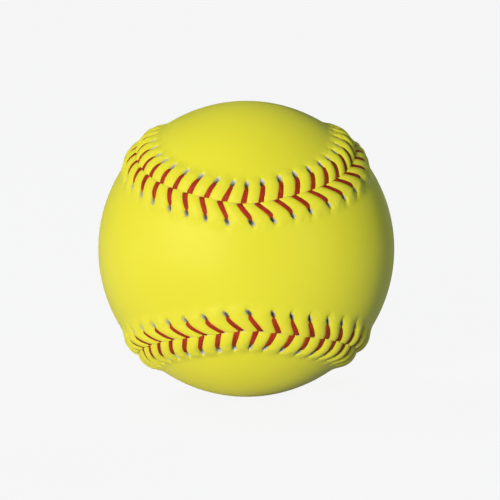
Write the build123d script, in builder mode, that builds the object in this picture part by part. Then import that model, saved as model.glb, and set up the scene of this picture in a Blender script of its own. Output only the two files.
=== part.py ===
# A 12 inch softball with a raised, laced seam.
# Two leather cover panels wrap a moulded core, and two runs of waxed thread lace their rolled edges.
# Frame: millimetres, +Z up, origin at the centre of the ball.
# The seam swings four times between the -Y and +Y poles. Panel A crosses -Y, panel B crosses +Y.
import os
from bisect import bisect
from math import asin, cos, degrees, pi, radians, sin

from build123d import *

os.makedirs("parts", exist_ok=True)

# Ball and layers
inch = 25.4
ball_circumference = 12 * inch
ball_radius = ball_circumference / (2 * pi)
cover_thickness = 1.6
cement_thickness = 0.2
layer_clearance = 0.05
cover_inner_radius = ball_radius - cover_thickness
cement_outer_radius = cover_inner_radius - layer_clearance
cement_inner_radius = cement_outer_radius - cement_thickness
core_radius = cement_inner_radius - layer_clearance

# Course of the seam over the ball, as two swings of latitude and longitude
seam_swing = 1.143
seam_bulge = 0.375

# Rolled edge of a cover panel, a ring section beside the seam
seam_rise = 1.8
roll_radius = 5.9
roll_offset = 3.05
seam_gap = 1.0
roll_centre_height = seam_rise - roll_radius
lip_angle = degrees(asin((seam_gap / 2 - roll_offset) / roll_radius))
foot_angle = 50.0
roll_inner_radius = roll_radius - cover_thickness

# Where the flat field of a panel stops under its roll, and where the cement stops
field_setback = 6.0
cement_setback = 7.8

# Laced stitches
stitch_count = 88
slot_angle = 40.0
slot_length = 2.2
slot_width = 1.3
thread_diameter = 0.9
thread_clearance = 0.06
thread_bend = 0.55
thread_pass = 0.65

# Welt laid on the core under each rolled edge
welt_radius = 0.42
welt_arcs = 6

# How finely the seam is stepped
seam_steps = 2000
quarter_sections = 9


def seam_direction(turn):
    """Direction from the ball centre to the seam, turn running from 0 to 2 pi."""
    latitude = -seam_swing * cos(2 * turn)
    longitude = turn + seam_bulge * sin(4 * turn)
    return Vector(
        cos(latitude) * sin(longitude),
        sin(latitude),
        cos(latitude) * cos(longitude),
    )


def seam_lengths():
    """Running length of the seam at each step."""
    lengths = [0.0]
    last = seam_direction(0)
    for step in range(1, seam_steps + 1):
        here = seam_direction(2 * pi * step / seam_steps)
        lengths.append(lengths[-1] + (here - last).length * ball_radius)
        last = here
    return lengths


running_length = seam_lengths()
seam_length = running_length[-1]
stitch_pitch = seam_length / stitch_count


def turn_at(length):
    """Turn of the seam at a running length."""
    loops, rest = divmod(length, seam_length)
    step = min(bisect(running_length, rest), seam_steps)
    low = running_length[step - 1]
    part_step = (rest - low) / (running_length[step] - low)
    return 2 * pi * (loops + (step - 1 + part_step) / seam_steps)


def section_plane(turn):
    """Plane across the seam: x to panel B, y outward, through the ball centre."""
    outward = seam_direction(turn)
    along = (seam_direction(turn + 1e-5) - seam_direction(turn - 1e-5)).normalized()
    return Plane(origin=(0, 0, 0), x_dir=outward.cross(along), z_dir=along)


def across(offset, height):
    """Section point at an offset along the ball surface and a height over it."""
    radius = ball_radius + height
    return (radius * sin(offset / ball_radius), radius * cos(offset / ball_radius))


def on_roll(angle, radius):
    """Offset and height of a point of the roll, by its angle and radius."""
    offset = roll_offset + radius * sin(radians(angle))
    height = roll_centre_height + radius * cos(radians(angle))
    return offset, height


def roll_point(angle, radius, side):
    """Section point of the roll on one side of the seam (A is -1, B is +1)."""
    offset, height = on_roll(angle, radius)
    return across(side * offset, height)


def seam_point(length, offset, height):
    """Point of space at a running length, an offset across and a height."""
    plane = section_plane(turn_at(length))
    return plane.from_local_coords(Vector(*across(offset, height)))


def quarter_turn(shape):
    """Next quarter of the seam: a quarter turn about Y, mirrored end for end."""
    return shape.rotate(Axis.Y, 90).mirror(Plane.XZ)


def four_quarters(quarter):
    """Panel A's piece from its quarter, joined over the two mirror planes."""
    half = quarter.fuse(quarter.mirror(Plane.YZ), glue=True)
    return half.fuse(half.mirror(Plane.XY), glue=True)


quarter_turns = [pi / 2 * step / quarter_sections for step in range(quarter_sections + 1)]
over_turns = [pi / 2 * step / quarter_sections for step in range(-2, quarter_sections + 3)]


def seam_band(half_width):
    """Block along a quarter of the seam that clears a band of the ball."""
    low = -4 * cover_thickness
    high = seam_rise
    with BuildPart() as band:
        for turn in over_turns:
            with BuildSketch(section_plane(turn)):
                with BuildLine():
                    Polyline(
                        across(half_width, high),
                        across(half_width, low),
                        across(-half_width, low),
                        across(-half_width, high),
                        close=True,
                    )
                make_face()
        loft()
    return band.part


def panel_field(outer, inner, half_width):
    """Quarter of panel A's spherical field, set back from the seam."""
    with BuildPart() as field:
        Sphere(outer)
        Sphere(inner, mode=Mode.SUBTRACT)
        Box(
            2 * outer,
            4 * outer,
            2 * outer,
            align=(Align.MIN, Align.CENTER, Align.MIN),
            mode=Mode.INTERSECT,
        )
        add(seam_band(half_width), mode=Mode.SUBTRACT)
    return field.part.solids().sort_by(Axis.Y)[0]


# Core: one moulded ball
with BuildPart() as core:
    Sphere(core_radius)
core.part.label = "core"
export_step(core.part, "parts/core.step")

# Cement: a thin coat that holds each panel's field to the core
cement_film = four_quarters(panel_field(cement_outer_radius, cement_inner_radius, cement_setback))
with BuildPart() as cement_coat_a:
    add(cement_film)
cement_coat_a.part.label = "cement_coat_a"
export_step(cement_coat_a.part, "parts/cement_coat_a.step")

with BuildPart() as cement_coat_b:
    add(quarter_turn(cement_film))
cement_coat_b.part.label = "cement_coat_b"
export_step(cement_coat_b.part, "parts/cement_coat_b.step")

# Welt: one round loop of cord under the rolled edge of each panel
welt_height = core_radius + layer_clearance + welt_radius - ball_radius
arc_size = 360 / welt_arcs
with BuildPart() as welt_quarter:
    for turn in quarter_turns:
        with BuildSketch(section_plane(turn)):
            with BuildLine():
                for arc in range(welt_arcs):
                    CenterArc(across(-roll_offset, welt_height), welt_radius, arc * arc_size, arc_size)
            make_face()
    loft()
welt_loop = four_quarters(welt_quarter.part.solid())
with BuildPart() as seam_welt_a:
    add(welt_loop)
seam_welt_a.part.label = "seam_welt_a"
export_step(seam_welt_a.part, "parts/seam_welt_a.step")

with BuildPart() as seam_welt_b:
    add(quarter_turn(welt_loop))
seam_welt_b.part.label = "seam_welt_b"
export_step(seam_welt_b.part, "parts/seam_welt_b.step")

# Cover panel: the rolled edge along a quarter of the seam
mid_angle = (lip_angle + foot_angle) / 2
with BuildPart() as edge_roll:
    for turn in quarter_turns:
        with BuildSketch(section_plane(turn)):
            with BuildLine():
                outside = ThreePointArc(
                    roll_point(lip_angle, roll_radius, -1),
                    roll_point(mid_angle, roll_radius, -1),
                    roll_point(foot_angle, roll_radius, -1),
                )
                inside = ThreePointArc(
                    roll_point(lip_angle, roll_inner_radius, -1),
                    roll_point(mid_angle, roll_inner_radius, -1),
                    roll_point(foot_angle, roll_inner_radius, -1),
                )
                Line(outside @ 0, inside @ 0)
                Line(outside @ 1, inside @ 1)
            make_face()
    loft()

# Cover panel: field and roll in one piece, with its lacing slots punched square to the roll
with BuildPart() as cover_quarter:
    add(panel_field(ball_radius, cover_inner_radius, field_setback))
    add(edge_roll.part)
    for slot in range(stitch_count // 4 + 1):
        crossing = section_plane(turn_at(slot * stitch_pitch))
        mouth = crossing.from_local_coords(Vector(*roll_point(slot_angle, roll_radius, -1)))
        throat = crossing.from_local_coords(Vector(*roll_point(slot_angle, roll_inner_radius, -1)))
        inward = (throat - mouth).normalized()
        with BuildSketch(Plane(origin=mouth - inward * 1.4, x_dir=crossing.z_dir, z_dir=inward)):
            SlotOverall(slot_length, slot_width, rotation=90)
    extrude(amount=cover_thickness + 2.0, mode=Mode.SUBTRACT)

panel = four_quarters(cover_quarter.part.solid())
with BuildPart() as cover_panel_a:
    add(panel)
cover_panel_a.part.label = "cover_panel_a"
export_step(cover_panel_a.part, "parts/cover_panel_a.step", write_pcurves=False)

with BuildPart() as cover_panel_b:
    add(quarter_turn(panel))
cover_panel_b.part.label = "cover_panel_b"
export_step(cover_panel_b.part, "parts/cover_panel_b.step", write_pcurves=False)

# Course of one stitch in the section: out of a slot, over the roll, down the gap, under to the next
over_radius = roll_radius + thread_diameter / 2 + thread_clearance
under_radius = roll_inner_radius - thread_diameter / 2 - thread_clearance
mid_radius = (roll_radius + roll_inner_radius) / 2
exit_angle = slot_angle - 4.0
over_course = [
    on_roll(exit_angle, mid_radius),
    on_roll(exit_angle, over_radius + 0.08),
    on_roll(exit_angle - 19.0, over_radius + 0.14),
    on_roll(exit_angle - 42.0, over_radius + 0.14),
    (0.0, seam_rise),
]
under_course = [
    (0.0, roll_centre_height + under_radius - 0.64),
    on_roll(exit_angle - 28.0, under_radius),
    on_roll(exit_angle, under_radius - 0.1),
    on_roll(exit_angle, mid_radius - 0.02),
]
slot_offset = over_course[0][0] - 0.1
bend_offset = under_course[2][0] - 0.1


def stitch(number, side):
    """One stitch out of a slot of a side, over its roll and under the other side."""
    start = number * stitch_pitch
    dive = start - stitch_pitch / 2 + side * thread_pass
    finish = start - stitch_pitch
    course = []
    for offset, height in over_course:
        share = min(1.0, offset / slot_offset)
        course.append(seam_point(dive + (start - dive) * share, side * offset, height))
    for offset, height in under_course:
        share = min(1.0, offset / bend_offset)
        course.append(seam_point(dive + (finish - dive) * share, -side * offset, height))
    with BuildPart() as piece:
        with BuildLine() as run:
            FilletPolyline(*course, radius=thread_bend)
        with BuildSketch(Plane(origin=run.line @ 0, z_dir=run.line % 0)):
            Circle(thread_diameter / 2)
        sweep(path=run.line)
    return piece.part.solid()


# Thread: the two needles take turns on the two sides, so each run holds every other stitch of both
first_quarter = {1: [], 2: []}
for number in range(stitch_count // 4):
    first_quarter[1 + number % 2].append(stitch(number, -1))
    first_quarter[2 - number % 2].append(stitch(number, 1))


def thread_run(run):
    """All stitches of one run, the quarters changing over from run to run."""
    stitches = []
    for quarter in range(4):
        source = run if quarter % 2 == 0 else 3 - run
        for piece in first_quarter[source]:
            turned = piece
            for _ in range(quarter):
                turned = quarter_turn(turned)
            stitches.append(turned)
    return stitches


with BuildPart() as thread_run_one:
    add(thread_run(1))
thread_run_one.part.label = "thread_run_one"
export_step(thread_run_one.part, "parts/thread_run_one.step")

with BuildPart() as thread_run_two:
    add(thread_run(2))
thread_run_two.part.label = "thread_run_two"
export_step(thread_run_two.part, "parts/thread_run_two.step")
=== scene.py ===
"""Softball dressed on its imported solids: leather cover panels, waxed lacing, studio and camera."""

import logging
import math
from collections.abc import Callable
from dataclasses import dataclass, field
from enum import Enum
from functools import cached_property

import bpy
import numpy as np
from mathutils import Matrix, Vector
from mathutils.geometry import delaunay_2d_cdt


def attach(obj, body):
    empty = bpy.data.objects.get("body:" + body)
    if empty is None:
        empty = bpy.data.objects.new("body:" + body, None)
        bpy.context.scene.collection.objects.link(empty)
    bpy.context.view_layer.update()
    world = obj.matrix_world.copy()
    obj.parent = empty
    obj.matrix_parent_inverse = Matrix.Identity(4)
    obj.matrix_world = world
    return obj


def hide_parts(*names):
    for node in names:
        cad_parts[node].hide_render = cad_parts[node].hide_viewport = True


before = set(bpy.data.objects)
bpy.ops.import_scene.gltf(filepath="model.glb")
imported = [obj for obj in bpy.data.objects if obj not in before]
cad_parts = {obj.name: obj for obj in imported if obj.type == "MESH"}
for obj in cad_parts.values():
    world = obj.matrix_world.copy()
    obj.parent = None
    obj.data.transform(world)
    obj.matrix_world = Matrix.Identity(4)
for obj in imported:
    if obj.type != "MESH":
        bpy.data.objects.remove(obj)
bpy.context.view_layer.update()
LOG = logging.getLogger("softball")
METRE = 0.001
WHITE = (1.0, 1.0, 1.0, 1.0)


class Side(Enum):
    """Side of the seam: the panel that crosses -Y or the one that crosses +Y."""

    A = -1.0
    B = 1.0


def smooth(low: float, high: float, value: np.ndarray) -> np.ndarray:
    """Ease from 0 at low to 1 at high.

    Args:
        low: value where the step starts.
        high: value where the step ends.
        value: where to read it.

    Returns:
        The eased share, between 0 and 1.
    """
    share = np.clip((np.asarray(value, float) - low) / (high - low), 0.0, 1.0)
    return share * share * (3.0 - 2.0 * share)


@dataclass(frozen=True)
class Seam:
    """Course of the seam over the ball, in millimetres."""

    radius: float = 12 * 25.4 / (2 * math.pi)
    swing: float = 1.143
    bulge: float = 0.375
    stitches: int = 88
    steps: int = 8192
    probes: int = 1760

    def direction(self, turn: np.ndarray) -> np.ndarray:
        """Direction of the seam from the ball's centre.

        Args:
            turn: place along the seam, 0 to 2 pi for the whole loop.

        Returns:
            Unit vectors, one for each turn.
        """
        latitude = -self.swing * np.cos(2 * turn)
        longitude = turn + self.bulge * np.sin(4 * turn)
        level = np.cos(latitude)
        return np.stack([level * np.sin(longitude), np.sin(latitude), level * np.cos(longitude)], -1)

    @cached_property
    def turns(self) -> np.ndarray:
        """Turn at each step of the loop."""
        return np.linspace(0.0, 2 * math.pi, self.steps + 1)

    @cached_property
    def lengths(self) -> np.ndarray:
        """Running length at each step of the loop."""
        points = self.direction(self.turns) * self.radius
        return np.concatenate([[0.0], np.cumsum(np.linalg.norm(np.diff(points, axis=0), axis=1))])

    @property
    def pitch(self) -> float:
        """Mean distance from stitch to stitch."""
        return float(self.lengths[-1]) / self.stitches

    def axes(self, along: np.ndarray) -> tuple[np.ndarray, np.ndarray]:
        """Outward direction and direction across the seam.

        Args:
            along: running lengths, which may pass the ends of the loop.

        Returns:
            Outward unit vectors and unit vectors towards panel B.
        """
        turn = np.interp(np.mod(along, self.lengths[-1]), self.lengths, self.turns)
        outward = self.direction(turn)
        tangent = self.direction(turn + 1e-4) - self.direction(turn - 1e-4)
        across = np.cross(outward, tangent)
        return outward, across / np.linalg.norm(across, axis=-1, keepdims=True)

    def point(self, along: np.ndarray, offset: np.ndarray, height: np.ndarray) -> np.ndarray:
        """Places beside the seam.

        Args:
            along: running lengths.
            offset: distance over the ball from the seam, positive to panel B.
            height: height over the ball.

        Returns:
            Points in millimetres.
        """
        outward, across = self.axes(along)
        angle = np.asarray(offset)[..., None] / self.radius
        reach = (self.radius + np.asarray(height))[..., None]
        return (outward * np.cos(angle) + across * np.sin(angle)) * reach

    def distance(self, directions: np.ndarray) -> np.ndarray:
        """Signed distance over the ball from the seam.

        Args:
            directions: unit vectors.

        Returns:
            Distances in millimetres, positive on panel B's side.
        """
        along = np.linspace(0.0, self.lengths[-1], self.probes, endpoint=False)
        outward, across = self.axes(along)
        near = directions @ outward.T
        best = near.argmax(1)
        side = np.sign(np.einsum("ij,ij->i", directions, across[best]))
        return side * np.arccos(np.clip(near.max(1), -1, 1)) * self.radius


@dataclass(frozen=True)
class Lacing:
    """Where each stitch leaves its slot and dives into the gap, hand laced and so a little uneven."""

    seam: Seam
    phase: float = -0.44
    drift: float = 0.13
    lean_a: float = 0.50
    sway_a: float = 0.30
    lean_b: float = 0.40
    sway_b: float = 0.40
    pass_share: float = 0.12
    reach_a: float = 6.2
    reach_b: float = 6.6
    slot_back: float = 1.0
    slot_share_a: tuple[float, float] = (1.0, 0.88)
    slot_share_b: tuple[float, float] = (1.25, 1.28)
    uneven: float = 0.035
    seed: int = 12

    def wobble(self, number: np.ndarray, stream: int) -> np.ndarray:
        """Fixed small unevenness of each stitch, in pitches."""
        draws = np.random.default_rng(self.seed + stream).normal(0.0, self.uneven, self.seam.stitches)
        return draws[np.mod(number, self.seam.stitches)]

    def reach(self, side: Side) -> float:
        """Distance of the middle of one side's slots from the seam."""
        return self.reach_a if side is Side.A else self.reach_b

    def slot_size(self, side: Side) -> tuple[float, float]:
        """Width and length of one side's slots, as shares of the plain oval."""
        return self.slot_share_a if side is Side.A else self.slot_share_b

    def lean_share(self, side: Side, offset: np.ndarray) -> np.ndarray:
        """Share of the way from the gap to the place where a thread enters its slot."""
        return np.clip(offset / (self.reach(side) - self.slot_back), 0, 1)

    def apex(self, number: np.ndarray) -> np.ndarray:
        """Running length where the two threads of a stitch meet in the gap."""
        around = 2 * math.pi * number / self.seam.stitches
        return (number + self.phase + self.drift * np.cos(around)) * self.seam.pitch

    def dive(self, side: Side, number: np.ndarray) -> np.ndarray:
        """Running length where one side's thread dives into the gap."""
        shift = side.value * self.pass_share + 0.5 * self.wobble(number, 1)
        return self.apex(number) + shift * self.seam.pitch

    def slot(self, side: Side, number: np.ndarray) -> np.ndarray:
        """Running length of a stitch's slot in one panel."""
        around = 4 * math.pi * number / self.seam.stitches
        lean, sway = (self.lean_a, self.sway_a) if side is Side.A else (self.lean_b, self.sway_b)
        shift = lean + sway * np.sin(around) + self.wobble(number, 2 if side is Side.A else 3)
        return self.apex(number) + shift * self.seam.pitch


@dataclass(frozen=True)
class RolledEdge:
    """Section of a panel's rolled edge, pinched under each thread and swelling between them."""

    rise: float = 1.68
    crest: float = 3.2
    dip: float = 0.8
    corner: float = 0.5
    corner_drop: float = 0.05
    foot: float = 9.9
    foot_swell: float = 0.8
    pinch: float = 0.95
    valley: float = 0.15
    valley_share: float = 0.62
    swell: float = 0.32
    fade: tuple[float, float] = (5.4, 9.2)
    lip: float = 0.006
    notch: float = 0.33
    notch_width: float = 0.11
    parting: float = 0.045
    parting_place: float = 0.24
    parting_width: float = 0.09

    def fullness(self, share: np.ndarray) -> np.ndarray:
        """How far the leather has swollen, 0 under a thread and 1 midway to the next."""
        narrow = 1 - np.exp(-((share / self.valley) ** 2))
        broad = np.sin(math.pi * share) ** 2
        return self.valley_share * narrow + (1 - self.valley_share) * broad

    def lip_offset(self, share: np.ndarray) -> np.ndarray:
        """Distance of the lip from the seam, pushed back where a thread dives."""
        pushed = self.notch * np.exp(-((share / self.notch_width) ** 2))
        parted = self.parting * np.exp(-(((share + self.parting_place) / self.parting_width) ** 2))
        return self.lip + pushed + parted

    def drawn_in(self, offset: np.ndarray, share: np.ndarray) -> np.ndarray:
        """How far the thread pulls the leather in, dying away towards the field."""
        return self.pinch * (1 - self.fullness(share)) * (1 - smooth(*self.fade, offset))

    def height(self, offset: np.ndarray, share: np.ndarray) -> np.ndarray:
        """Height of the leather over the ball.

        Args:
            offset: distance from the seam.
            share: place between two threads, 0 under one and 0.5 midway.

        Returns:
            Heights in millimetres.
        """
        offset, share = np.broadcast_arrays(np.asarray(offset, float), np.asarray(share, float))
        full = self.fullness(share)
        into = np.clip((self.lip_offset(share) + self.corner - offset) / self.corner, 0, 1)
        inner = self.rise - self.dip * np.clip(1 - offset / self.crest, 0, 1) ** 2
        rounded = inner - self.corner_drop * into**2
        foot = self.foot + self.foot_swell * full
        outer = np.clip((offset - self.crest) / (foot - self.crest), 0, 1)
        falling = self.rise * (0.5 + 0.5 * np.cos(math.pi * outer))
        swollen = self.swell * full * (1 - smooth(*self.fade, offset))
        return np.where(offset < self.crest, rounded, falling) + swollen - self.drawn_in(offset, share)


class Value:
    """A socket of a shader tree that can be used in sums."""

    def __init__(self, tree: "Recipe", socket: bpy.types.NodeSocket) -> None:
        """Keep the tree and the socket."""
        self.tree = tree
        self.socket = socket

    def _sum(self, operation: str, first: object, second: object) -> "Value":
        """Add a Math node for one operation."""
        return self.tree.node("ShaderNodeMath", {"operation": operation}, {0: first, 1: second})

    def __add__(self, other: object) -> "Value":
        """Sum."""
        return self._sum("ADD", self, other)

    __radd__ = __add__

    def __mul__(self, other: object) -> "Value":
        """Product."""
        return self._sum("MULTIPLY", self, other)

    __rmul__ = __mul__

    def __sub__(self, other: object) -> "Value":
        """Difference."""
        return self._sum("SUBTRACT", self, other)

    def __rsub__(self, other: object) -> "Value":
        """Difference the other way round."""
        return self._sum("SUBTRACT", other, self)


class Recipe:
    """A shader node tree, filled node by node."""

    def __init__(self, tree: bpy.types.NodeTree) -> None:
        """Empty the tree and keep it."""
        self.tree = tree
        tree.nodes.clear()

    def node(
        self,
        kind: str,
        settings: dict[str, object] | None = None,
        inputs: dict[object, object] | None = None,
        output: object = 0,
    ) -> Value:
        """Add a node.

        Args:
            kind: type of the node.
            settings: its properties, and "stops" for a ramp, set before the sockets.
            inputs: values or links of its sockets.
            output: which output is wanted.

        Returns:
            The wanted output.
        """
        made = self.tree.nodes.new(kind)
        for name, value in (settings or {}).items():
            if name == "stops":
                self._stops(made.color_ramp, value)
            else:
                setattr(made, name, value)
        for key, value in (inputs or {}).items():
            if isinstance(value, Value):
                self.tree.links.new(value.socket, made.inputs[key])
            else:
                made.inputs[key].default_value = value
        return Value(self, made.outputs[output]) if len(made.outputs) else Value(self, made.inputs[0])

    @staticmethod
    def _stops(ramp: bpy.types.ColorRamp, stops: tuple[tuple[float, float], ...]) -> None:
        """Give a ramp its grey stops."""
        while len(ramp.elements) < len(stops):
            ramp.elements.new(0.5)
        for element, (place, grey) in zip(ramp.elements, stops):
            element.position = place
            element.color = (grey, grey, grey, 1.0)

    def attribute(self, name: str) -> Value:
        """Number stored on the mesh under a name."""
        return self.node("ShaderNodeAttribute", {"attribute_name": name}, output="Fac")

    def noise(self, vector: Value, scale: float, detail: float = 3.0, rough: float = 0.5) -> Value:
        """Noise value between 0 and 1."""
        return self.node(
            "ShaderNodeTexNoise",
            inputs={"Vector": vector, "Scale": scale, "Detail": detail, "Roughness": rough},
            output="Fac",
        )

    def blend(self, share: object, first: object, second: object) -> Value:
        """Colour part of the way from one to another."""
        return self.node(
            "ShaderNodeMix",
            {"data_type": "RGBA"},
            {"Factor": share, 6: first, 7: second},
            output=2,
        )

    def finish(self, surface: Value) -> None:
        """Send a shader to the tree's output."""
        self.node("ShaderNodeOutputMaterial", inputs={"Surface": surface})


def new_material(name: str) -> tuple[bpy.types.Material, Recipe]:
    """Start a material.

    Args:
        name: the material's name.

    Returns:
        The material and its empty node tree.
    """
    made = bpy.data.materials.new(name)
    made.use_nodes = True
    return made, Recipe(made.node_tree)


@dataclass(frozen=True)
class LeatherFinish:
    """Coated leather: bright face, pale raw edges, fine grain, soft wear and painted shade in the creases,
    and painted shade down the slots.
    """

    name: str = "coated_leather"
    face: tuple[float, float, float] = (0.86, 0.79, 0.045)
    warm: tuple[float, float, float] = (0.83, 0.75, 0.038)
    # Crease colour: wear, and painted shade in the thread valleys and along the seam gap.
    crease: tuple[float, float, float] = (0.52, 0.44, 0.03)
    raw: tuple[float, float, float] = (0.68, 0.665, 0.605)
    # Painted shade: dark colour laid on the slot floors and near walls in place of the shade down the hole.
    deep: tuple[float, float, float] = (0.13, 0.122, 0.105)
    rough: float = 0.34
    shine: float = 0.5
    matt: float = 0.55
    mottle_scale: float = 45.0
    mottle: float = 0.8
    # How far the crease colour is mixed in, partly wear and partly painted shade.
    wear_and_shade: float = 0.75
    cut_stops: tuple[tuple[float, float], ...] = ((0.25, 0.0), (0.55, 1.0))
    grain_scale: float = 1500.0
    grain_height: float = 0.00004
    grain_strength: float = 0.6
    pore_scale: float = 450.0
    pore_weight: float = 0.7
    pore_rough: float = 0.1
    raw_rough: float = 0.35
    fold_scale: float = 420.0
    fold_height: float = 0.0006
    fold_strength: float = 0.7

    def material(self) -> bpy.types.Material:
        """Make the material.

        Returns:
            The finished material.
        """
        made, mix = new_material(self.name)
        place = mix.node("ShaderNodeTexCoord", output="Object")
        broad = mix.noise(place, self.mottle_scale)
        grain = mix.noise(place, self.grain_scale, rough=0.6)
        pores = mix.noise(place, self.pore_scale, detail=2.0)
        face = mix.blend(broad * self.mottle, (*self.face, 1.0), (*self.warm, 1.0))
        # Painted shade and wear: the face is darkened towards the crease colour by the crease share.
        worn_and_shaded = mix.blend(mix.attribute("crease") * self.wear_and_shade, face, (*self.crease, 1.0))
        bare = mix.attribute("raw")
        sharp = mix.node("ShaderNodeValToRGB", {"stops": self.cut_stops}, {"Fac": bare})
        # Painted shade: the slot floors and near walls go from the raw edge colour to the dark colour in
        # place of the hole's shade.
        cut_edge_and_hole_shade = mix.blend(mix.attribute("deep"), (*self.raw, 1.0), (*self.deep, 1.0))
        colour = mix.blend(sharp, worn_and_shaded, cut_edge_and_hole_shade)
        folds = mix.noise(place, self.fold_scale, detail=2.0) * mix.attribute("pucker")
        drawn = mix.node(
            "ShaderNodeBump",
            inputs={"Strength": self.fold_strength, "Distance": self.fold_height, "Height": folds},
        )
        bump = mix.node(
            "ShaderNodeBump",
            inputs={
                "Strength": self.grain_strength,
                "Distance": self.grain_height,
                "Height": grain + self.pore_weight * pores,
                "Normal": drawn,
            },
        )
        rough = self.rough - self.pore_rough / 2 + self.pore_rough * pores + self.raw_rough * bare
        mix.finish(
            mix.node(
                "ShaderNodeBsdfPrincipled",
                inputs={
                    "Base Color": colour,
                    "Roughness": rough,
                    "Normal": bump,
                    "Specular IOR Level": self.shine,
                    "Diffuse Roughness": self.matt,
                },
            )
        )
        return made


@dataclass(frozen=True)
class ThreadFinish:
    """Waxed thread: long fibres, darker between the plies."""

    name: str = "waxed_thread"
    lit: tuple[float, float, float] = (0.54, 0.044, 0.014)
    deep: tuple[float, float, float] = (0.20, 0.010, 0.006)
    rough: float = 0.42
    shine: float = 0.4
    strands: float = 4.5
    strand_lean: float = 0.16
    strand_run: float = 0.10
    fibre_scale: float = 2.2
    fibre_stops: tuple[tuple[float, float], ...] = ((0.34, 0.0), (0.60, 1.0))
    fibre_height: float = 0.00008
    fibre_strength: float = 0.5
    fibre_rough: float = 0.15

    def material(self) -> bpy.types.Material:
        """Make the material.

        Returns:
            The finished material.
        """
        made, mix = new_material(self.name)
        along = mix.attribute("along")
        around = mix.attribute("around")
        twisted = around * self.strands + along * self.strand_lean
        place = mix.node("ShaderNodeCombineXYZ", inputs={0: twisted, 1: along * self.strand_run, 2: 0.0})
        fibre = mix.noise(place, self.fibre_scale, detail=4.0, rough=0.65)
        tone = mix.node("ShaderNodeValToRGB", {"stops": self.fibre_stops}, {"Fac": fibre})
        colour = mix.blend(tone, (*self.deep, 1.0), (*self.lit, 1.0))
        bump = mix.node(
            "ShaderNodeBump",
            inputs={"Strength": self.fibre_strength, "Distance": self.fibre_height, "Height": fibre},
        )
        mix.finish(
            mix.node(
                "ShaderNodeBsdfPrincipled",
                inputs={
                    "Base Color": colour,
                    "Roughness": self.rough + self.fibre_rough * fibre,
                    "Normal": bump,
                    "Specular IOR Level": self.shine,
                },
            )
        )
        return made


@dataclass(frozen=True)
class InnerFinish:
    """Plain matte finish of a hidden piece, with a fine mottle."""

    name: str
    light: tuple[float, float, float]
    dark: tuple[float, float, float]
    rough: float = 0.7
    scale: float = 400.0
    rough_spread: float = 0.2
    bump_strength: float = 0.3
    bump_height: float = 0.0001

    def material(self) -> bpy.types.Material:
        """Make the material.

        Returns:
            The finished material.
        """
        made, mix = new_material(self.name)
        place = mix.node("ShaderNodeTexCoord", output="Object")
        mottle = mix.noise(place, self.scale)
        colour = mix.blend(mottle, (*self.light, 1.0), (*self.dark, 1.0))
        bump = mix.node(
            "ShaderNodeBump",
            inputs={"Strength": self.bump_strength, "Distance": self.bump_height, "Height": mottle},
        )
        rough = self.rough - self.rough_spread / 2 + self.rough_spread * mottle
        mix.finish(
            mix.node(
                "ShaderNodeBsdfPrincipled",
                inputs={"Base Color": colour, "Roughness": rough, "Normal": bump},
            )
        )
        return made


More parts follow.
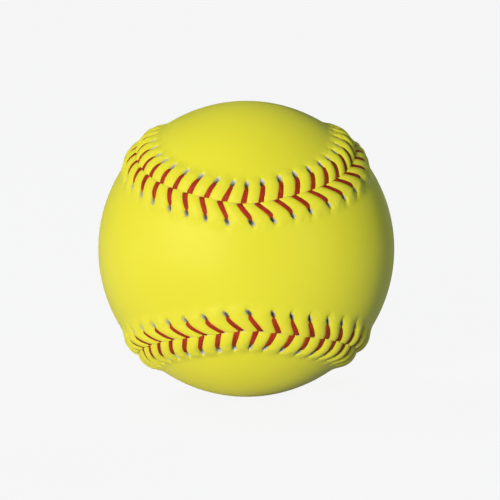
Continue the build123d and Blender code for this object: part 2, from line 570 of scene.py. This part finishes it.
@dataclass
class CoverPanel:
    """One leather panel of the cover: a spherical field, a rolled edge and its lacing slots."""

    side: Side
    node: str
    seam: Seam
    lacing: Lacing
    edge: RolledEdge
    thickness: float = 1.6
    slot_depth: float = 1.1
    field_edge: float = 12.0
    field_step: float = 1.7
    field_margin: float = 0.6
    packing: float = 0.866
    lean_end: float = 8.0
    even_start: float = 8.6
    # Crease share: wear and painted shade beside each thread valley and along the seam gap.
    wear_and_shade_width: float = 0.14
    wear_and_shade_fade: tuple[float, float] = (6.6, 8.4)
    valley_wear_and_shade: float = 0.6
    gap_fade: tuple[float, float] = (0.05, 0.5)
    gap_wear_and_shade: float = 0.05
    pucker_rise: tuple[float, float] = (5.0, 7.0)
    pucker_fade: tuple[float, float] = (7.5, 11.0)
    slot_round: float = 0.75
    slot_lean: float = 0.7
    ring_ease: float = 0.55
    # Painted shade: the inner slot rings are painted dark, and the wall ring is painted darker on its side
    # towards the seam.
    wall_ring: int = 3
    wall_shade: float = 0.4
    shares: tuple[float, ...] = (0.0, 0.035, 0.07, 0.1, 0.135, 0.185, 0.25, 0.33, 0.415)
    wall_drops: tuple[float, ...] = (1.0, 0.5)
    corner_shares: tuple[float, ...] = (0.0, 0.05, 0.2, 0.42, 0.68)
    roll_shares: tuple[float, ...] = (0.0, 0.14, 0.3, 0.5, 0.74)
    roll_offsets: tuple[float, ...] = (3.2, 3.55, 3.9)
    slot_steps: tuple[float, ...] = (0.3, 0.62, 1.0, 1.25, 1.6, 2.0)
    field_offsets: tuple[float, ...] = (9.3, 10.0, 10.8, 12.0)
    under: tuple[tuple[float, float], ...] = (
        (12.0, -1.6), (8.8, -1.6), (6.8, -1.3), (5.0, -0.45), (3.2, 0.05), (1.6, -0.1), (0.5, -0.35),
    )
    ovals: tuple[tuple[float, float, float, float], ...] = (
        (0.0, 0.0, -0.46, 1.0), (0.17, 0.28, -0.46, 1.0), (0.36, 0.56, -0.44, 0.95),
        (0.60, 1.10, -0.05, 0.55), (0.74, 1.32, 0.05, 0.03), (0.98, 1.64, 0.05, 0.0),
    )

    def columns(self) -> tuple[np.ndarray, np.ndarray, np.ndarray]:
        """Columns of the edge mesh.

        Returns:
            Stitch number, step from its thread and share of the way to the next thread.
        """
        reach = len(self.shares)
        steps = np.arange(-reach, reach)
        ladder = np.array([*self.shares, 0.5])
        share = np.sign(steps) * ladder[np.abs(steps)]
        number = np.repeat(np.arange(self.seam.stitches), len(steps))
        return number, np.tile(steps, self.seam.stitches), np.tile(share, self.seam.stitches)

    @staticmethod
    def between(
        places: Callable[[np.ndarray], np.ndarray], number: np.ndarray, share: np.ndarray
    ) -> np.ndarray:
        """Running length at a share of the way from one stitch to the next.

        Args:
            places: gives the running length of a stitch by its number.
            number: stitch numbers.
            share: shares, negative towards the stitch before.

        Returns:
            Running lengths.
        """
        here = places(number)
        ahead = places(number + 1) - here
        behind = here - places(number - 1)
        return here + share * np.where(share >= 0, ahead, behind)

    def outer_rows(self, share: np.ndarray) -> list[tuple[np.ndarray, float, float, int | None]]:
        """Rows of the outer face from the lip to the field.

        Args:
            share: place of each column between two threads.

        Returns:
            Each row's offsets, drop below the lip, raw share and step from the slots' middle.
        """
        lip = self.edge.lip_offset(share)
        turn = lip + self.edge.corner
        rows = [(lip, drop, 1.0, None) for drop in self.wall_drops]
        rows += [(lip + part * self.edge.corner, 0.0, 0.0, None) for part in self.corner_shares]
        rows += [(turn + part * (self.edge.crest - turn), 0.0, 0.0, None) for part in self.roll_shares]
        rows += [(np.full_like(share, offset), 0.0, 0.0, None) for offset in self.roll_offsets]
        steps = [0.0, *self.slot_steps]
        for mark in range(-len(self.slot_steps), len(self.slot_steps) + 1):
            offset = self.lacing.reach(self.side) + math.copysign(steps[abs(mark)], mark)
            rows.append((np.full_like(share, offset), 0.0, 0.0, mark))
        return rows + [(np.full_like(share, offset), 0.0, 0.0, None) for offset in self.field_offsets]

    def edge_points(self) -> tuple[np.ndarray, dict[str, np.ndarray]]:
        """Points of the edge strip, from the inner face round the lip to the field.

        Returns:
            Points by row and column, and for each the shares of raw edge, painted hole shade, crease wear
            with painted shade, and pucker.
        """
        number, step, share = self.columns()
        level = step / (2.0 * len(self.shares))
        points: list[np.ndarray] = []
        marks: dict[str, list[np.ndarray]] = {"raw": [], "deep": [], "crease": [], "pucker": []}

        def course(offset: np.ndarray, part: np.ndarray) -> np.ndarray:
            """Running length of the columns, which lean with the threads."""
            lean = self.lacing.lean_share(self.side, offset)
            gap = self.between(lambda n: self.lacing.dive(self.side, n), number, part)
            row = self.between(lambda n: self.lacing.slot(self.side, n), number, part)
            return gap + lean * (row - gap)

        def lay(along: np.ndarray, away: np.ndarray, tall: np.ndarray, **values: np.ndarray) -> None:
            """Add one row with its shares."""
            points.append(self.seam.point(along, self.side.value * away, tall))
            for key, kept in marks.items():
                kept.append(np.broadcast_to(values.get(key, 0.0), share.shape))

        for offset, height in self.under:
            away = np.full_like(share, offset)
            part = level if offset > self.lean_end else share
            low = np.maximum(height - self.edge.drawn_in(away, part), -self.thickness)
            lay(course(away, part), away, low, raw=1.0)
        for offset, drop, raw, mark in self.outer_rows(share):
            even = smooth(self.even_start, self.field_edge, offset)
            part = (1 - even) * share + even * level
            along, away = course(offset, part), offset
            depth, deep = np.full_like(share, drop), 0.0
            if mark is not None:
                along, away, depth, raw, deep = self.slot_ring(mark, step, number, along, away)
            # Crease share: wear and painted shade in the thread valleys and the seam gap.
            near = np.exp(-((part / self.wear_and_shade_width) ** 2)) * (1 - smooth(*self.wear_and_shade_fade, away))
            gap = 1 - smooth(*self.gap_fade, away)
            crease = np.clip(self.valley_wear_and_shade * near + self.gap_wear_and_shade * gap, 0, 1)
            pucker = smooth(*self.pucker_rise, away) * (1 - smooth(*self.pucker_fade, away))
            tall = self.edge.height(away, part) - depth
            lay(along, away, tall, raw=raw, deep=deep, crease=crease, pucker=pucker)
        return np.array(points), {key: np.array(kept) for key, kept in marks.items()}

    def slot_ring(
        self, mark: int, step: np.ndarray, number: np.ndarray, along: np.ndarray, away: np.ndarray
    ) -> tuple[np.ndarray, ...]:
        """Draw the mesh round each slot into rings, sink the inner ones and mark them for painted shade.

        Args:
            mark: row's step from the slot's middle.
            step: each column's step from its thread.
            number: each column's stitch.
            along: running lengths of the plain row.
            away: offsets of the plain row.

        Returns:
            New running lengths and offsets, depths, raw shares and painted hole shade shares.
        """
        last = len(self.ovals) - 1
        ring = np.maximum(np.abs(step), abs(mark))
        inside = ring <= last
        ring = np.minimum(ring, last)
        flat = np.abs(step) >= abs(mark)
        safe_step = np.where(step == 0, 1, step)
        safe_mark = mark if mark else 1
        angle = np.where(
            flat,
            np.where(step < 0, math.pi, 0.0) + math.pi / 4 * mark / safe_step,
            (math.pi / 2 if mark > 0 else -math.pi / 2) - math.pi / 4 * step / safe_mark,
        )
        oval = np.array(self.ovals)[ring]
        across, down = self.lacing.slot_size(self.side)
        swung = np.cos(angle)
        wide = across * oval[:, 0] * np.sign(swung) * np.abs(swung) ** self.slot_round
        long = down * (oval[:, 1] * np.sin(angle) + oval[:, 2])
        middle = self.lacing.slot(self.side, number)
        reach = self.lacing.reach(self.side)
        lean = (middle - self.lacing.dive(self.side, number)) / reach
        share = np.where(inside, np.where(ring == last, self.ring_ease, 1.0), 0.0)
        new_along = along + share * (middle + wide + self.slot_lean * lean * long - along)
        new_away = away + share * (reach + long - away)
        depth = np.where(inside, oval[:, 3] * self.slot_depth, 0.0)
        raw = np.where(inside & (ring <= self.wall_ring), 1.0, 0.0)
        # Painted shade: the inner rings take the dark colour in place of the hole's shade, and the wall ring
        # takes more of it towards the seam.
        wall = np.where(ring == self.wall_ring, self.wall_shade * (1 - np.sin(angle)), 0.0)
        deep = np.where(inside, np.where(ring < self.wall_ring, 1.0, wall), 0.0)
        return new_along, new_away, depth, raw, deep

    def field_points(self) -> np.ndarray:
        """Directions spread evenly over the field, clear of the edge strip."""
        count = int(4 * math.pi * self.seam.radius**2 / (self.packing * self.field_step**2))
        rank = np.arange(count) + 0.5
        rise = 1 - 2 * rank / count
        turn = math.pi * (1 + math.sqrt(5)) * rank
        level = np.sqrt(1 - rise**2)
        directions = np.stack([level * np.cos(turn), level * np.sin(turn), rise], -1)
        clear = self.field_edge + self.field_margin * self.field_step
        return directions[self.seam.distance(directions) * self.side.value > clear]

    def field_faces(self, rim: np.ndarray, inner: np.ndarray) -> list[tuple[int, int, int]]:
        """Triangles of the field between its rim and the points inside it.

        Args:
            rim: directions of the rim, in order.
            inner: directions inside the rim.

        Returns:
            Triangles that count the rim first, then the inner points, facing outwards.
        """
        both = np.concatenate([rim, inner])
        flat = both[:, [0, 2]] / (1 + self.side.value * both[:, 1])[:, None]
        count = len(rim)
        loop = [(k, (k + 1) % count) for k in range(count)]
        _, _, faces, origins, _, _ = delaunay_2d_cdt([Vector(p) for p in flat], loop, [], 1, 1e-9)
        places = [source[0] for source in origins]
        made = []
        for face in faces:
            a, b, c = (places[k] for k in face)
            outward = np.dot(np.cross(both[b] - both[a], both[c] - both[a]), both[a]) > 0
            made.append((a, b, c) if outward else (a, c, b))
        return made

    def build(self, finish: bpy.types.Material) -> bpy.types.Object:
        """Make the panel.

        Args:
            finish: leather material.

        Returns:
            The panel's object, riding and standing for its solid.
        """
        grid, shares = self.edge_points()
        rows, columns, _ = grid.shape
        inner = self.field_points()
        rim = grid[-1] / np.linalg.norm(grid[-1], axis=1, keepdims=True)
        triangles = self.field_faces(rim, inner)
        base = rows * columns
        points = np.concatenate(
            [grid.reshape(-1, 3), inner * self.seam.radius, inner * (self.seam.radius - self.thickness)]
        )
        outer_ids = np.concatenate([(rows - 1) * columns + np.arange(columns), base + np.arange(len(inner))])
        under_ids = np.concatenate([np.arange(columns), base + len(inner) + np.arange(len(inner))])
        row, column = np.meshgrid(np.arange(rows - 1), np.arange(columns), indexing="ij")
        after = (column + 1) % columns
        here, above = row * columns, (row + 1) * columns
        quads = np.stack([here + column, here + after, above + after, above + column], -1).reshape(-1, 4)
        if self.side is Side.A:
            quads = quads[:, ::-1]
        faces = [tuple(q) for q in quads.tolist()]
        faces += [tuple(int(outer_ids[k]) for k in t) for t in triangles]
        faces += [tuple(int(under_ids[k]) for k in reversed(t)) for t in triangles]
        extra = np.zeros(len(inner))
        panel = mesh_object(
            self.node.replace("cover_panel", "leather_panel"),
            points,
            faces,
            {
                key: np.concatenate([values.ravel(), extra, extra + (key == "raw")])
                for key, values in shares.items()
            },
        )
        panel.data.materials.append(finish)
        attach(panel, "root")
        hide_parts(self.node)
        return panel


def mesh_object(
    name: str,
    points: np.ndarray,
    faces: list[tuple[int, ...]],
    numbers: dict[str, np.ndarray] | None = None,
    edges: list[tuple[int, int]] | None = None,
) -> bpy.types.Object:
    """Make a mesh object at the origin.

    Args:
        name: the object's name.
        points: places in millimetres.
        faces: point numbers of each face.
        numbers: named numbers or vectors for each point.
        edges: loose edges.

    Returns:
        The linked object.
    """
    mesh = bpy.data.meshes.new(name)
    mesh.from_pydata((points * METRE).tolist(), edges or [], faces)
    for key, values in (numbers or {}).items():
        kind, part = ("FLOAT_VECTOR", "vector") if values.ndim == 2 else ("FLOAT", "value")
        stored = mesh.attributes.new(key, kind, "POINT")
        stored.data.foreach_set(part, np.ascontiguousarray(values, np.float32).ravel())
    if faces:
        mesh.shade_smooth()
    mesh.update()
    made = bpy.data.objects.new(name, mesh)
    bpy.context.scene.collection.objects.link(made)
    return made


class GeometryTree:
    """A Geometry Nodes tree with named inputs."""

    def __init__(self, name: str, inputs: dict[str, tuple[str, object]]) -> None:
        """Start a tree.

        Args:
            name: the tree's name.
            inputs: each input's socket type and default.
        """
        self.tree = bpy.data.node_groups.new(name, "GeometryNodeTree")
        self.tree.interface.new_socket("Geometry", in_out="INPUT", socket_type="NodeSocketGeometry")
        self.tree.interface.new_socket("Geometry", in_out="OUTPUT", socket_type="NodeSocketGeometry")
        self.keys: dict[str, str] = {}
        for key, (kind, default) in inputs.items():
            socket = self.tree.interface.new_socket(key, in_out="INPUT", socket_type=kind)
            if default is not None:
                socket.default_value = default
            self.keys[key] = socket.identifier
        self.entry = self.tree.nodes.new("NodeGroupInput")
        self.exit = self.tree.nodes.new("NodeGroupOutput")

    def node(
        self,
        kind: str,
        settings: dict[str, object] | None = None,
        inputs: dict[object, object] | None = None,
        output: object = 0,
    ) -> bpy.types.NodeSocket:
        """Add a node.

        Args:
            kind: type of the node.
            settings: its properties.
            inputs: values or links of its sockets.
            output: which output is wanted.

        Returns:
            The wanted output.
        """
        made = self.tree.nodes.new(kind)
        for name, value in (settings or {}).items():
            setattr(made, name, value)
        for key, value in (inputs or {}).items():
            if isinstance(value, bpy.types.NodeSocket):
                self.tree.links.new(value, made.inputs[key])
            else:
                made.inputs[key].default_value = value
        return made.outputs[output]

    def named(self, name: str, kind: str = "FLOAT") -> bpy.types.NodeSocket:
        """Value stored on the geometry under a name."""
        return self.node("GeometryNodeInputNamedAttribute", {"data_type": kind}, {"Name": name})

    def maths(self, operation: str, first: object, second: object = 0.0) -> bpy.types.NodeSocket:
        """One sum of two numbers."""
        return self.node("ShaderNodeMath", {"operation": operation}, {0: first, 1: second})

    def close(self, geometry: bpy.types.NodeSocket) -> None:
        """Send geometry to the tree's output."""
        self.tree.links.new(geometry, self.exit.inputs[0])


@dataclass
class ThreadRun:
    """Every other stitch of both panels: one needle's run of the lacing."""

    node: str
    first: int
    seam: Seam
    lacing: Lacing
    edge: RolledEdge
    width: float = 2.0
    thick: float = 0.8
    plies: int = 3
    ply_depth: float = 0.07
    twist: float = 0.6
    ring: int = 12
    heart: tuple[float, float] = (3.2, -2.6)
    leg_shift: float = 3.7
    course: tuple[tuple[float, float, float], ...] = (
        (1.02, -0.95, 0.46), (1.03, -0.42, 0.52), (0.985, 0.10, 0.58), (0.92, 0.24, 0.70), (0.82, 0.29, 0.82),
        (0.71, 0.31, 0.92), (0.60, 0.32, 0.98), (0.49, 0.33, 1.02), (0.38, 0.33, 1.07), (0.27, 0.33, 1.11),
        (0.175, 0.32, 1.14), (0.095, 0.26, 1.15), (0.04, 0.08, 1.12), (0.01, -0.40, 1.0),
    )

    def leg(self, side: Side, number: int) -> tuple[np.ndarray, np.ndarray, np.ndarray, np.ndarray]:
        """One thread leg from its slot over the roll into the gap.

        Args:
            side: panel the leg lies on.
            number: stitch number.

        Returns:
            Points, facing directions, girths and running lengths.
        """
        share, lift, girth = (np.array(column) for column in zip(*self.course))
        stitch = np.array([number])
        slot, dive = float(self.lacing.slot(side, stitch)[0]), float(self.lacing.dive(side, stitch)[0])
        along = dive + (slot - dive) * np.minimum(share, 1)
        offset = share * (self.lacing.reach(side) - self.lacing.slot_back)
        lip = self.edge.lip + self.edge.notch + self.edge.corner
        height = self.edge.height(np.maximum(offset, lip), np.zeros(len(offset))) + lift
        points = self.seam.point(along, side.value * offset, height)
        beside, below = (np.full(len(offset), value) for value in self.heart)
        heart = self.seam.point(along, side.value * beside, below)
        tangent = np.gradient(points, axis=0)
        tangent /= np.linalg.norm(tangent, axis=1, keepdims=True)
        facing = points - heart
        facing -= tangent * np.sum(facing * tangent, axis=1, keepdims=True)
        facing /= np.linalg.norm(facing, axis=1, keepdims=True)
        length = np.concatenate([[0.0], np.cumsum(np.linalg.norm(np.diff(points, axis=0), axis=1))])
        return points, facing, girth, length + self.leg_shift * number

    def lines(self) -> bpy.types.Object:
        """Centre lines of all the legs, as loose edges with their facings and girths."""
        points, facings, girths, lengths, edges = [], [], [], [], []
        for number in range(self.seam.stitches):
            for side in Side:
                if (number + (side is Side.B)) % 2 != self.first:
                    continue
                start = sum(len(p) for p in points)
                leg, facing, girth, length = self.leg(side, number)
                points.append(leg)
                facings.append(facing)
                girths.append(girth)
                lengths.append(length)
                edges += [(start + k, start + k + 1) for k in range(len(leg) - 1)]
        return mesh_object(
            self.node.replace("thread_run", "waxed_thread"),
            np.concatenate(points),
            [],
            {
                "facing": np.concatenate(facings),
                "girth": np.concatenate(girths),
                "along": np.concatenate(lengths),
            },
            edges,
        )

    def sizes(self) -> dict[str, float]:
        """Sizes of the thread by the name of their input, lengths in metres."""
        return {
            "Width": self.width * METRE,
            "Thickness": self.thick * METRE,
            "Plies": float(self.plies),
            "Ply Depth": self.ply_depth * METRE,
            "Twist": self.twist,
        }

    def tree(self) -> GeometryTree:
        """Nodes that lay a flattened, plied thread along each centre line."""
        inputs = {key: ("NodeSocketFloat", size) for key, size in self.sizes().items()}
        made = GeometryTree(self.node, {**inputs, "Finish": ("NodeSocketMaterial", None)})
        entry = made.entry.outputs
        lines = made.node("GeometryNodeMeshToCurve", inputs={"Mesh": entry["Geometry"]})
        faced = made.node(
            "GeometryNodeSetCurveNormal",
            {"mode": "FREE"},
            {"Curve": lines, "Normal": made.named("facing", "FLOAT_VECTOR")},
        )
        circle = made.node(
            "GeometryNodeCurvePrimitiveCircle", inputs={"Resolution": self.ring, "Radius": 0.5}
        )
        share = made.node("GeometryNodeSplineParameter")
        marked = made.node(
            "GeometryNodeStoreNamedAttribute",
            {"data_type": "FLOAT", "domain": "POINT"},
            {"Geometry": circle, "Name": "around", "Value": share},
        )
        size = made.node(
            "ShaderNodeCombineXYZ", inputs={0: entry["Thickness"], 1: entry["Width"], 2: 1.0}
        )
        place = made.node(
            "ShaderNodeVectorMath",
            {"operation": "MULTIPLY"},
            {0: made.node("GeometryNodeInputPosition"), 1: size},
        )
        section = made.node("GeometryNodeSetPosition", inputs={"Geometry": marked, "Position": place})
        tube = made.node(
            "GeometryNodeCurveToMesh",
            inputs={
                "Curve": faced,
                "Profile Curve": section,
                "Scale": made.named("girth"),
                "Fill Caps": True,
            },
        )
        round_ply = made.maths("MULTIPLY", made.named("around"), entry["Plies"])
        angle = made.maths(
            "ADD",
            made.maths("MULTIPLY", round_ply, 2 * math.pi),
            made.maths("MULTIPLY", made.named("along"), entry["Twist"]),
        )
        swell = made.maths("MULTIPLY", made.maths("COSINE", angle), entry["Ply Depth"])
        shift = made.node(
            "ShaderNodeVectorMath",
            {"operation": "SCALE"},
            {0: made.node("GeometryNodeInputNormal"), "Scale": swell},
        )
        plied = made.node("GeometryNodeSetPosition", inputs={"Geometry": tube, "Offset": shift})
        soft = made.node("GeometryNodeSetShadeSmooth", inputs={"Geometry": plied, "Shade Smooth": True})
        real = made.node("GeometryNodeRealizeInstances", inputs={"Geometry": soft})
        made.close(
            made.node("GeometryNodeSetMaterial", inputs={"Geometry": real, "Material": entry["Finish"]})
        )
        return made

    def build(self, finish: bpy.types.Material) -> bpy.types.Object:
        """Make the run.

        Args:
            finish: thread material.

        Returns:
            The run's object, riding and standing for its solid.
        """
        piece = self.lines()
        tree = self.tree()
        modifier = piece.modifiers.new("lay_thread", "NODES")
        modifier.node_group = tree.tree
        for key, value in {**self.sizes(), "Finish": finish}.items():
            modifier[tree.keys[key]] = value
        bpy.context.view_layer.update()
        graph = bpy.context.evaluated_depsgraph_get()
        mesh = bpy.data.meshes.new_from_object(piece.evaluated_get(graph))
        piece.modifiers.remove(modifier)
        piece.data = mesh
        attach(piece, "root")
        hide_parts(self.node)
        return piece


@dataclass
class Softball:
    """The whole ball: hidden layers, cover and lacing."""

    seam: Seam = field(default_factory=Seam)
    edge: RolledEdge = field(default_factory=RolledEdge)
    leather: LeatherFinish = field(default_factory=LeatherFinish)
    thread: ThreadFinish = field(default_factory=ThreadFinish)

    def dress_inside(self) -> None:
        """Give the hidden layers their finishes."""
        finishes = {
            "core": InnerFinish("moulded_core", (0.72, 0.66, 0.50), (0.62, 0.56, 0.41)),
            "cement_coat": InnerFinish(
                "dried_cement", (0.62, 0.53, 0.33), (0.50, 0.42, 0.25), rough=0.55, scale=250.0
            ),
            "seam_welt": InnerFinish(
                "cotton_cord", (0.76, 0.73, 0.66), (0.60, 0.57, 0.50), rough=0.85, scale=1800.0
            ),
        }
        made = {key: finish.material() for key, finish in finishes.items()}
        for name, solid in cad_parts.items():
            for key, material in made.items():
                if name.startswith(key):
                    solid.data.materials.clear()
                    solid.data.materials.append(material)
                    LOG.info("dressed %s", name)

    def build(self) -> None:
        """Build the cover and the lacing."""
        lacing = Lacing(self.seam)
        leather = self.leather.material()
        thread = self.thread.material()
        self.dress_inside()
        for side, node in ((Side.A, "cover_panel_a"), (Side.B, "cover_panel_b")):
            panel = CoverPanel(side, node, self.seam, lacing, self.edge).build(leather)
            LOG.info("built %s with %d faces", panel.name, len(panel.data.polygons))
        for first, node in enumerate(("thread_run_one", "thread_run_two")):
            run = ThreadRun(node, first, self.seam, lacing, self.edge).build(thread)
            LOG.info("built %s with %d faces", run.name, len(run.data.polygons))


def compass(azimuth: float, elevation: float) -> Vector:
    """Direction from the ball, by degrees round from the viewer's side and degrees up.

    Args:
        azimuth: degrees to the viewer's right of -Y.
        elevation: degrees above level.

    Returns:
        A unit vector.
    """
    swing, rise = math.radians(azimuth), math.radians(elevation)
    return Vector((math.sin(swing) * math.cos(rise), -math.cos(swing) * math.cos(rise), math.sin(rise)))


@dataclass(frozen=True)
class SoftLamp:
    """A soft lamp aimed at the ball, with or without light on matt surfaces and in gloss."""

    name: str
    azimuth: float
    elevation: float
    power: float
    glossy: bool = True
    tint: tuple[float, float, float] = (1.0, 1.0, 1.0)
    distance: float = 1.5
    size: float = 0.8
    diffuse: bool = True

    def build(self) -> None:
        """Hang the lamp."""
        place = compass(self.azimuth, self.elevation) * self.distance
        light = bpy.data.lights.new(self.name, "AREA")
        light.shape = "DISK"
        light.size = self.size
        light.energy = self.power
        light.color = self.tint
        lamp = bpy.data.objects.new(self.name, light)
        lamp.location = place
        lamp.visible_glossy = self.glossy
        lamp.visible_diffuse = self.diffuse
        lamp.rotation_euler = place.to_track_quat("Z", "Y").to_euler()
        bpy.context.scene.collection.objects.link(lamp)


@dataclass
class Studio:
    """Pale floor, soft lamps, even surroundings and the camera."""

    radius: float = 0.0485
    backdrop: float = 0.922
    ambient: float = 0.025
    cool: tuple[float, float, float] = (0.5, 1.0, 1.1)
    floor_glow: float = 0.85
    floor_shine: float = 1.055
    floor_tone: float = 0.35
    floor_reach: float = 60.0
    mirrored: float = 0.1
    elevation: float = 7.6
    azimuth: float = -0.26
    roll: float = 0.51
    distance: float = 30.0
    sensor: float = 36.0
    sight: float = 200.0
    picture: float = 500.0
    ball_pixels: float = 148.0
    ball_place: tuple[float, float] = (246.3, 248.8)
    lamps: tuple[SoftLamp, ...] = (
        SoftLamp("key_lamp", -21.0, 9.0, 19.3, glossy=False, size=0.25),
        SoftLamp("sheen_lamp", -42.0, 12.0, 9.0, tint=(0.82, 0.86, 1.1), diffuse=False, size=1.5),
        SoftLamp("left_lamp", -85.0, 6.0, 1.0, glossy=False, size=0.4),
        SoftLamp("fill_lamp", 45.0, 12.0, 3.0, glossy=False, tint=(0.78, 1.08, 1.2)),
        SoftLamp("rim_lamp", -120.0, 45.0, 6.0, glossy=False, tint=(0.85, 1.0, 1.0)),
        SoftLamp("back_lamp", 155.0, 10.0, 155.0, glossy=False, distance=5.0, size=2.2),
    )

    def build(self) -> None:
        """Set the whole studio."""
        self.floor()
        self.surroundings()
        for lamp in self.lamps:
            lamp.build()
        self.camera()
        bpy.context.scene.view_settings.view_transform = "Standard"

    @staticmethod
    def in_view(mix: Recipe) -> Value:
        """One where the camera sees a surface straight."""
        return mix.node("ShaderNodeLightPath", output="Is Camera Ray")

    @staticmethod
    def in_gloss(mix: Recipe) -> Value:
        """One where a surface shows in a gloss or through glass."""
        glossy = mix.node("ShaderNodeLightPath", output="Is Glossy Ray")
        return glossy + mix.node("ShaderNodeLightPath", output="Is Transmission Ray")

    def floor(self) -> None:
        """Lay a wide pale floor under the ball."""
        reach = self.floor_reach / METRE
        low = -self.radius / METRE
        square = ((-1, -1), (1, -1), (1, 1), (-1, 1))
        corners = np.array([[x * reach, y * reach, low] for x, y in square])
        floor = mesh_object("studio_floor", corners, [(0, 1, 2, 3)])
        finish, mix = new_material("pale_floor")
        seen = self.floor_glow * self.in_view(mix) + self.mirrored * self.in_gloss(mix)
        matt = mix.node("ShaderNodeBsdfDiffuse", inputs={"Color": (*[self.floor_tone] * 3, 1.0)})
        glow = mix.node("ShaderNodeEmission", inputs={"Color": WHITE, "Strength": self.floor_shine})
        mix.finish(mix.node("ShaderNodeMixShader", inputs={0: seen, 1: matt, 2: glow}))
        floor.data.materials.append(finish)

    def surroundings(self) -> None:
        """Even pale surroundings, bright to the camera, faint in gloss and dim elsewhere."""
        world = bpy.data.worlds.new("studio")
        world.use_nodes = True
        bpy.context.scene.world = world
        mix = Recipe(world.node_tree)
        seen = self.in_view(mix) + self.mirrored * self.in_gloss(mix)
        dim = mix.node("ShaderNodeBackground", inputs={"Color": (*self.cool, 1.0), "Strength": self.ambient})
        pale = mix.node("ShaderNodeBackground", inputs={"Color": WHITE, "Strength": self.backdrop})
        both = mix.node("ShaderNodeMixShader", inputs={0: seen, 1: dim, 2: pale})
        mix.node("ShaderNodeOutputWorld", inputs={"Surface": both})

    def camera(self) -> None:
        """Stand the camera at the photograph's viewing angle."""
        tilt = math.radians(self.roll)
        back = compass(self.azimuth, self.elevation)
        right = compass(self.azimuth + 90.0, 0.0)
        top = back.cross(right)
        turned_right = math.cos(tilt) * right - math.sin(tilt) * top
        turned_top = math.sin(tilt) * right + math.cos(tilt) * top
        data = bpy.data.cameras.new("photo_camera")
        data.sensor_width = self.sensor
        data.lens = self.sensor * self.ball_pixels * math.sqrt(self.distance**2 - 1) / self.picture
        data.shift_x = (self.picture / 2 - self.ball_place[0]) / self.picture
        data.shift_y = (self.ball_place[1] - self.picture / 2) / self.picture
        data.clip_end = self.sight
        camera = bpy.data.objects.new("photo_camera", data)
        place = Matrix((turned_right, turned_top, back)).transposed().to_4x4()
        place.translation = back * self.distance * self.radius
        camera.matrix_world = place
        bpy.context.scene.collection.objects.link(camera)
        bpy.context.scene.camera = camera


def main() -> None:
    """Build the ball and its studio, logging each piece's face count."""
    logging.basicConfig(level=logging.INFO, format="%(name)s: %(message)s")
    Softball().build()
    Studio().build()


if __name__ == "__main__":
    main()
